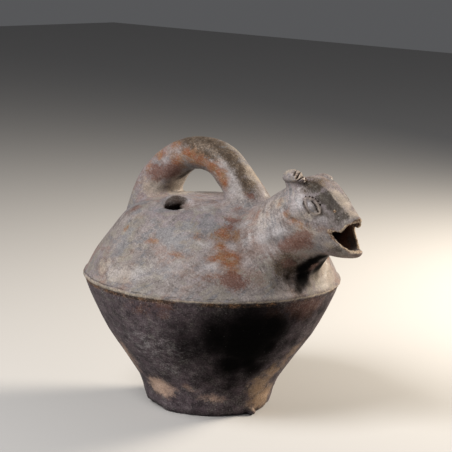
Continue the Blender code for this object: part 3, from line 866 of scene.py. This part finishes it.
# Colours of the fired clay, as the eye sees them in plain light
clay = {
    "taupe": (0.196, 0.170, 0.162),
    "taupeDark": (0.124, 0.104, 0.098),
    "hazel": (0.118, 0.084, 0.058),
    "lilac": (0.163, 0.135, 0.150),
    "pink": (0.195, 0.134, 0.116),
    "olive": (0.172, 0.156, 0.126),
    "blueGrey": (0.150, 0.152, 0.163),
    # the pale film's colour, also used for painted highlights on the neck and the eyeball
    "frostAndHighlight": (0.320, 0.302, 0.308),
    # pale soil's colour, also used for painted rim light
    "creamAndRimLight": (0.315, 0.265, 0.215),
    "peach": (0.500, 0.350, 0.268),
    "rust": (0.160, 0.058, 0.026),
    "ochre": (0.170, 0.094, 0.053),
    "red": (0.114, 0.054, 0.041),
    "brown": (0.048, 0.033, 0.022),
    # a dark grey stain's colour, also used for painted shade on the forehead
    "slateAndShade": (0.044, 0.036, 0.029),
    "chipped": (0.420, 0.330, 0.235),
    "crust": (0.320, 0.265, 0.210),
    "umber": (0.045, 0.036, 0.040),
    "purple": (0.098, 0.074, 0.084),
    # near black, for soot and for painted shade
    "sootAndShade": (0.0012, 0.0011, 0.0011),
    "tan": (0.305, 0.205, 0.132),
    "lids": (0.150, 0.110, 0.080),
    # dark crumbs and joints, also used for painted shade in the recesses and the hollow
    "dirtAndShade": (0.035, 0.024, 0.018),
    "throat": (0.260, 0.145, 0.105),
    "pale": (0.52, 0.50, 0.48),      # scratches and specks
    "roughness": 0.58,
    "shine": 0.02,                   # the clay's own, under what is left of the burnish
    "coatRoughness": 0.30,
}
patterns = {  # scale, detail and roughness; the long ones are also turned, in degrees, and stretched
    "broad": (24, 4, 0.6),
    "patch": (48, 4, 0.6),
    "mottle": (150, 6, 0.68),
    "grain": (950, 4, 0.7),
    "level": (70, 5, 0.65, (9, -6, 0), (1, 1, 3.2)),
    "slantA": (90, 4, 0.6, (28, -17, 0), (1, 1, 6)),
    "slantB": (90, 4, 0.6, (-5, 19, 0), (1, 1, 7)),
    "wipes": (75, 5, 0.62, (0, 59, 0), (0.6, 0.6, 5)),   # square to the axis of the neck
}
bands = {  # heights in metres between which a band begins, and ends
    "lowerWall": ((0.0912, 0.0895),),
    "underLip": ((0.0872, 0.0895), (0.0914, 0.0906)),
    "lip": ((0.0908, 0.0914), (0.0936, 0.0926)),
    "seam": ((0.0933, 0.0936), (0.0943, 0.0938)),
}


def mixColour(share, under, over, way="MIX"):
    # one colour over another, each a channel or a name from the list of clays
    made = Channel.tree.nodes.new("ShaderNodeMix")
    made.data_type = "RGBA"
    made.blend_type = way
    for index, value in ((0, share), (6, under), (7, over)):
        if isinstance(value, Channel):
            Channel.tree.links.new(value.socket, made.inputs[index])
        else:
            made.inputs[index].default_value = (*clay[value], 1) if value in clay else value
    return Channel(made.outputs[2])


def clayMaterial():
    material = bpy.data.materials.new("fired_clay_skin")
    material.use_nodes = True
    tree = Channel.tree = material.node_tree
    skin = tree.nodes["Principled BSDF"]
    skin.inputs["Specular IOR Level"].default_value = clay["shine"]
    skin.inputs["Coat Roughness"].default_value = clay["coatRoughness"]
    place = Channel(tree.nodes.new("ShaderNodeTexCoord").outputs["Object"])

    def parts(source, kind):
        split = tree.nodes.new(kind)
        tree.links.new(source.socket, split.inputs[0])
        return [Channel(split.outputs[k]) for k in range(3)]

    def noise(name, where=place, output=0):
        scale, detail, rough = patterns[name][:3]
        return Channel.node("ShaderNodeTexNoise", None,
                            {"Vector": where, "Scale": scale, "Detail": detail, "Roughness": rough}, output)

    def threeNoises(name):
        return parts(noise(name, output=1), "ShaderNodeSeparateColor")

    def longNoise(name):
        # marks that run one way, in the same space turned and stretched
        angles, stretch = patterns[name][3:]
        return noise(name, Channel.node("ShaderNodeMapping", {"vector_type": "TEXTURE"}, {
            "Vector": place, "Rotation": tuple(math.radians(a) for a in angles),
            "Scale": tuple(1 / s for s in stretch)}))

    def mark(name):
        return Channel.node("ShaderNodeAttribute", {"attribute_name": name}, None, 2)

    x, _, z = parts(place, "ShaderNodeSeparateXYZ")
    broadA, broadB, broadC = threeNoises("broad")
    patchA, patchB, patchC = threeNoises("patch")
    mottleA, mottleB, mottleC = threeNoises("mottle")
    grainA, grainB, grainC = threeNoises("grain")
    level, slantA, slantB, wipes = (longNoise(name) for name in ("level", "slantA", "slantB", "wipes"))
    neck = mark("neck")
    streaks = level + (wipes - level) * neck
    slantA = slantA + (wipes - slantA) * neck * 0.7
    speckle = (mottleA - 0.5) * 0.6 + (grainA - 0.5) * 1.7
    tooth = (mottleC - 0.5) * 0.9 + (grainB - 0.5) * 1.2

    def stain(name, wander, low=0.16, high=0.62):
        # a painted mark with a ragged edge
        amount = mark(name)
        return (amount + ((wander - 0.5) * 1.3 + tooth * 0.8) * amount.fade(0.02, 0.30)).fade(low, high)

    # burnished upper part
    cloud = mottleB * 0.5 + streaks * 0.5 + (slantA - 0.5) * 0.5 + (slantB - 0.5) * 0.4
    colour = mixColour((cloud + speckle * 0.3).fade(0.28, 0.60), "taupeDark", "taupe")
    brush = (slantA + streaks - 1.0) * 0.45 + (mottleA - 0.5) * 0.25
    for name, cloud, low, high, share in (
            ("lilac", broadA + brush, 0.47, 0.60, 0.65),
            ("olive", patchA + brush, 0.50, 0.62, 0.60),
            ("pink", broadB - brush, 0.51, 0.63, 0.60),
            ("blueGrey", patchB - brush, 0.52, 0.62, 0.55),
            ("ochre", broadC * 0.5 + mottleC * 0.5, 0.52, 0.64, 0.30)):
        colour = mixColour(cloud.fade(low, high) * share, colour, name)
    browns = mixColour((mottleA * 0.8 + grainB * 1.2 - 0.5).fade(0.42, 0.72), "brown", "hazel")
    colour = mixColour(stain("brown", mottleA) * 0.95, colour, browns)
    # pale soil, and painted rim light on the handle's back leg and the forehead
    creamAndRimLight = stain("creamAndRimLight", mottleB)
    colour = mixColour(creamAndRimLight * 0.60, colour, "creamAndRimLight")
    colour = mixColour(creamAndRimLight * (grainC + mottleA - 0.5).fade(0.52, 0.66) * 0.45, colour, "hazel")
    rust = stain("rust", mottleA, 0.10, 0.85) * (1.0 - (slantB + streaks).fade(1.00, 1.20) * 0.6)
    colour = mixColour(rust, colour, mixColour(mottleC.fade(0.38, 0.62), "rust", "ochre"))
    colour = mixColour(stain("red", mottleB) * 0.85, colour, "red")
    # dark grey stain, and painted shade on the forehead's near slope
    colour = mixColour(stain("slateAndShade", mottleC) * 0.85, colour, "slateAndShade")
    drift = (streaks + slantA + slantB) * 0.34 + (mottleA - 0.5) * 0.2 * (1.0 - neck)
    # pale film, and painted highlights on the neck and the eyeball
    colour = mixColour(stain("frostAndHighlight", drift, 0.20, 0.95) * 0.55, colour, "frostAndHighlight")

    # smoked lower part, darkened also as painted shade
    below = (z + (mottleB - 0.5) * 0.004).fade(*bands["lowerWall"][0])
    lower = mixColour(mottleB.fade(0.36, 0.64), "umber", "purple")
    lower = mixColour((patchC * 0.4 + mottleA * 0.6).fade(0.50, 0.64) * 0.55, lower, "slateAndShade")
    scuffs = slantA.fade(0.48, 0.64) + slantB.fade(0.48, 0.64) + (mottleA + grainA - 0.5).fade(0.50, 0.66)
    scuffs = scuffs * (mark("frostAndHighlight") + 0.10)
    lower = mixColour(scuffs.fade(0.0, 1.5) * 0.50, lower, "frostAndHighlight")
    lower = mixColour(stain("red", mottleA) * 0.7, lower, "red")
    bare = mixColour((patchB * 0.6 + mottleC * 0.4).fade(0.40, 0.62) * 0.7, "peach", "pink")
    lower = mixColour(stain("peach", mottleB, 0.12, 0.80) * 0.92, lower, bare)
    lower = mixColour(stain("tan", mottleC, 0.10, 0.90) * 0.85, lower, "tan")
    colour = mixColour(below, colour, lower)
    # soot, and painted shade under the throat and on the lower wall's unlit side
    sootAndShadeMark = mark("sootAndShade")
    ragged = ((mottleC - 0.5) * 0.9 + tooth * 0.5) * sootAndShadeMark.fade(0.02, 0.30)
    sootAndShade = sootAndShadeMark + ragged * (1.0 - below * 0.8) * (1.0 - neck * 0.5)
    sootAndShade = 1.0 - (1.0 - (sootAndShade * (1.0 - below * 0.1)).fade(0.04, 0.92)) ** 2.0
    glow = stain("red", mottleB, 0.55, 0.80) * neck     # a red spot shows through the soot and painted shade under the chin
    sootAndShade = sootAndShade * (1.0 - glow * 0.5)
    colour = mixColour(sootAndShade, colour, "sootAndShade")
    clean = 1.0 - sootAndShade

    # worn lip, breaks and dirt, and painted shade in the hollow and the recesses
    rise = z + (mottleB - 0.5) * 0.0016 + (patchB - 0.5) * 0.002
    slim = x.fade(-0.01, 0.05)   # the lip is thinner and cleaner towards the head

    def band(name, patchy, low, high, upper=rise):
        start, end = bands[name]
        return rise.fade(*start) * upper.fade(*end) * patchy.fade(low, high)
    under = band("underLip", patchA + tooth * 0.5 - x, 0.32, 0.50)
    earth = mixColour((grainC + mottleC - 0.5 - x).fade(0.42, 0.58), "dirtAndShade", "ochre")
    colour = mixColour(under * 0.9, colour, earth)
    crust = band("lip", patchC + tooth * 0.5 - x, 0.22, 0.46, rise + slim * 0.0010)
    flakes = (mottleA + grainB - 0.5).fade(0.40, 0.58) + slim * 0.4
    colour = mixColour(crust * (slim * 0.15 + 0.8), colour, mixColour(flakes, "olive", "crust"))
    seam = band("seam", patchB + mottleC - 0.5 - x * 2.0, 0.40, 0.54)
    colour = mixColour(seam * 0.6, colour, "dirtAndShade")
    # painted shade: the hollow's faces are dark, turning red-brown towards the front of the mouth
    hollow = mark("hollow")
    colour = mixColour(hollow, colour, mixColour(x.fade(0.085, 0.110), "dirtAndShade", "throat"))
    chipped = mixColour((mottleA + grainA - 0.5).fade(0.40, 0.56), "ochre", "chipped")
    broken, recessShade = mark("broken"), mark("recessShade")
    colour = mixColour((broken + tooth * 0.5).fade(0.25, 0.75) * 0.8, colour, chipped)
    colour = mixColour(mark("lids") * 0.5, colour, "lids")
    # painted shade in the slits, gouges, seams, fold and filling hole
    colour = mixColour(recessShade.fade(0.15, 0.8) * 0.85, colour, "dirtAndShade")

    # pale scratches, dust and specks, then the fine grain
    scratches = slantB.fade(0.66, 0.73) + slantA.fade(0.68, 0.74) * 0.8
    dust = (grainC + (mottleA - 0.5) * 0.5).fade(0.46, 0.72) * clean * (1.0 + below * 0.6)
    cells = Channel.node("ShaderNodeTexVoronoi", None, {"Vector": place, "Scale": 230.0})
    specks = cells.fade(0.13, 0.06) * grainB.fade(0.50, 0.60) * (clean * 0.8 + 0.2) * (1.0 - hollow)
    for pale, share in (
            ((scratches * mottleB.fade(0.42, 0.62)).fade(0.1, 1.0) * clean, 0.22),
            (dust, 0.12), (specks, 0.45)):
        colour = mixColour(pale * share, colour, "pale")
    burnishAndLight = mark("sheenAndLight")
    # the burnish mark also lightens the colour, most on the neck and head: painted light
    shade = speckle * 0.95 + (wipes - 0.5) * (neck * 0.45 + 0.10) + (streaks - 0.5) * 0.25
    shade = shade + (slantA + slantB - 1.0) * 0.35 + burnishAndLight * 0.27 + 1.0
    grey = Channel.node("ShaderNodeCombineColor", None, {0: shade, 1: shade, 2: shade})
    colour = mixColour(1.0, colour, grey, "MULTIPLY")

    rough = (mottleA - 0.5) * 0.35 + (grainA - 0.5) * 0.3 + mark("crust") * 0.25 + sootAndShade * 0.3
    rough = rough + clay["roughness"]
    coat = burnishAndLight * clean * mottleB.fade(0.30, 0.60) * (1.0 - recessShade) * (1.0 - broken)
    height = speckle * 0.7 + (wipes - 0.5) * (neck * 0.5 + 0.1) + (streaks - 0.5) * 0.3 - scratches * 0.1
    bump = Channel.node("ShaderNodeBump", None, {"Strength": 0.5, "Distance": 0.0004, "Height": height})
    outputs = {"Base Color": colour, "Roughness": rough, "Coat Weight": coat, "Normal": bump}
    for name, value in outputs.items():
        tree.links.new(value.socket, skin.inputs[name])
    return material


firedPot.data.materials.clear()
firedPot.data.materials.append(clayMaterial())
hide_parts("clay_pot")
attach(firedPot, "root")
print("clay coloured")


# Studio: a pale floor, two soft lights and a dim sky
studio = {
    "aim": (0.0, 0.0, 0.09),         # where the lights point
    "floor": {"size": 6.0, "colour": (0.42, 0.41, 0.40), "roughness": 0.9},
    "sky": {"colour": (0.95, 0.96, 1.0), "strength": 0.10},
    "key": {"right": -0.6, "up": 0.78, "back": 0.66, "size": 0.6, "watts": 20.6, "tint": (1, 0.985, 0.97)},
    "rim": {"right": 0.82, "up": 0.4, "back": -0.4, "size": 0.3, "watts": 23, "tint": (1, 0.9, 0.76)},
}


def makeStudio():
    bpy.ops.object.select_all(action="DESELECT")
    bpy.ops.mesh.primitive_plane_add(size=studio["floor"]["size"], location=(0, 0, 0))
    floor = bpy.context.object
    floor.name = "floor"
    pale = bpy.data.materials.new("pale_floor")
    pale.use_nodes = True
    surface = pale.node_tree.nodes["Principled BSDF"]
    surface.inputs["Base Color"].default_value = (*studio["floor"]["colour"], 1)
    surface.inputs["Roughness"].default_value = studio["floor"]["roughness"]
    floor.data.materials.append(pale)
    world = bpy.data.worlds.new("studio")
    world.use_nodes = True
    sky = world.node_tree.nodes["Background"]
    sky.inputs["Color"].default_value = (*studio["sky"]["colour"], 1)
    sky.inputs["Strength"].default_value = studio["sky"]["strength"]
    scene.world = world
    aim = Vector(studio["aim"])
    for name in ("key", "rim"):
        lamp = studio[name]
        data = bpy.data.lights.new(name, "AREA")
        data.size = lamp["size"]
        data.energy = lamp["watts"]
        data.color = lamp["tint"]
        light = bpy.data.objects.new(name, data)
        light.location = aim + camRight * lamp["right"] + camUp * lamp["up"] + camBack * lamp["back"]
        light.rotation_euler = (aim - light.location).to_track_quat("-Z", "Y").to_euler()
        scene.collection.objects.link(light)
    print("studio lit")


makeStudio()
scene.view_settings.view_transform = "Standard"
